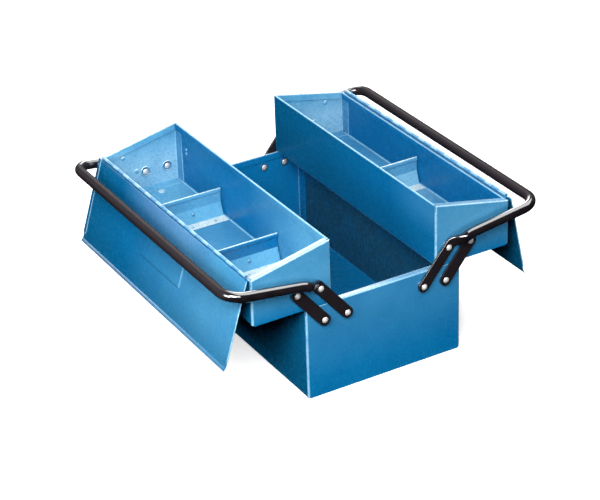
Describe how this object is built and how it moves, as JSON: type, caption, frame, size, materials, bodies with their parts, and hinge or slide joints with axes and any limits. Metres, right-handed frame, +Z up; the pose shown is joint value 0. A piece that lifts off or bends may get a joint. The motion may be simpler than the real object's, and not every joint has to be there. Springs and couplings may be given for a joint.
{
  "type": "cantilever tool box",
  "caption": "Sheet steel tool box with an open base and divided trays that swing out on parallel arms, gable lids on long hinges and tubular carrying handles.",
  "frame": {"origin": "centre of the base's underside, on the surface that the box stands on", "axes": "+X along the box towards its near end, +Y across it towards the right tray, +Z up"},
  "size_m": [0.387, 0.4056, 0.1895],
  "materials": {
    "blue_paint": "gloss stove enamel with a fine orange peel",
    "black_paint": "gloss black enamel",
    "rivet_steel": "bright zinc plated",
    "washer_steel": "zinc plated",
    "pin_steel": "drawn wire"
  },
  "bodies": {
    "base": {"base_trough": "blue_paint", "base_end_near": "blue_paint", "base_end_far": "blue_paint", "base_rivets_left": "rivet_steel", "base_rivets_right": "rivet_steel", "base_washers_left": "washer_steel", "base_washers_right": "washer_steel"},
    "handle_left": {"handle_left": "black_paint"},
    "outer_arms_left": {"outer_arm_left_near": "black_paint", "outer_arm_left_far": "black_paint"},
    "tray_left": {"tray_trough_left": "blue_paint", "tray_end_left_near": "blue_paint", "tray_end_left_far": "blue_paint", "divider_left_near": "blue_paint", "divider_left_far": "blue_paint", "hinge_tray_leaf_left": "blue_paint", "hinge_pin_left": "pin_steel", "tray_rivets_left": "rivet_steel", "tray_washers_left": "washer_steel"},
    "lid_left": {"lid_left": "blue_paint", "hinge_lid_leaf_left": "blue_paint"},
    "handle_right": {"handle_right": "black_paint"},
    "outer_arms_right": {"outer_arm_right_near": "black_paint", "outer_arm_right_far": "black_paint"},
    "tray_right": {"tray_trough_right": "blue_paint", "tray_end_right_near": "blue_paint", "tray_end_right_far": "blue_paint", "divider_right": "blue_paint", "hinge_tray_leaf_right": "blue_paint", "hinge_pin_right": "pin_steel", "tray_rivets_right": "rivet_steel", "tray_washers_right": "washer_steel"},
    "lid_right": {"lid_right": "blue_paint", "hinge_lid_leaf_right": "blue_paint"}
  },
  "joints": [
    {"name": "swing_left", "type": "hinge", "parent": "base", "child": "handle_left", "pos_m": [0, -0.0496, 0.096], "axis": [-1, 0, 0], "range_deg": [0, 79]},
    {"name": "tray_level_left", "type": "hinge", "parent": "handle_left", "child": "tray_left", "pos_m": [0, -0.08236, 0.13574], "axis": [-1, 0, 0], "range_deg": [-79, 0]},
    {"name": "arm_swing_left", "type": "hinge", "parent": "base", "child": "outer_arms_left", "pos_m": [0, -0.0784, 0.096], "axis": [-1, 0, 0], "range_deg": [0, 79]},
    {"name": "lid_turn_left", "type": "hinge", "parent": "tray_left", "child": "lid_left", "pos_m": [0, -0.16632, 0.17141], "axis": [-1, 0, 0], "range_deg": [0, 210.77]},
    {"name": "swing_right", "type": "hinge", "parent": "base", "child": "handle_right", "pos_m": [0, 0.0496, 0.096], "axis": [1, 0, 0], "range_deg": [0, 79]},
    {"name": "tray_level_right", "type": "hinge", "parent": "handle_right", "child": "tray_right", "pos_m": [0, 0.08236, 0.13574], "axis": [1, 0, 0], "range_deg": [-79, 0]},
    {"name": "arm_swing_right", "type": "hinge", "parent": "base", "child": "outer_arms_right", "pos_m": [0, 0.0784, 0.096], "axis": [1, 0, 0], "range_deg": [0, 79]},
    {"name": "lid_turn_right", "type": "hinge", "parent": "tray_right", "child": "lid_right", "pos_m": [0, 0.16632, 0.17141], "axis": [1, 0, 0], "range_deg": [0, 215.47]}
  ],
  "couplings": [
    {"joint": "tray_level_left", "follows": "swing_left", "ratio": -1},
    {"joint": "arm_swing_left", "follows": "swing_left", "ratio": 1},
    {"joint": "lid_turn_left", "follows": "swing_left", "ratio": 2.6678},
    {"joint": "tray_level_right", "follows": "swing_right", "ratio": -1},
    {"joint": "arm_swing_right", "follows": "swing_right", "ratio": 1},
    {"joint": "lid_turn_right", "follows": "swing_right", "ratio": 2.7273}
  ]
}
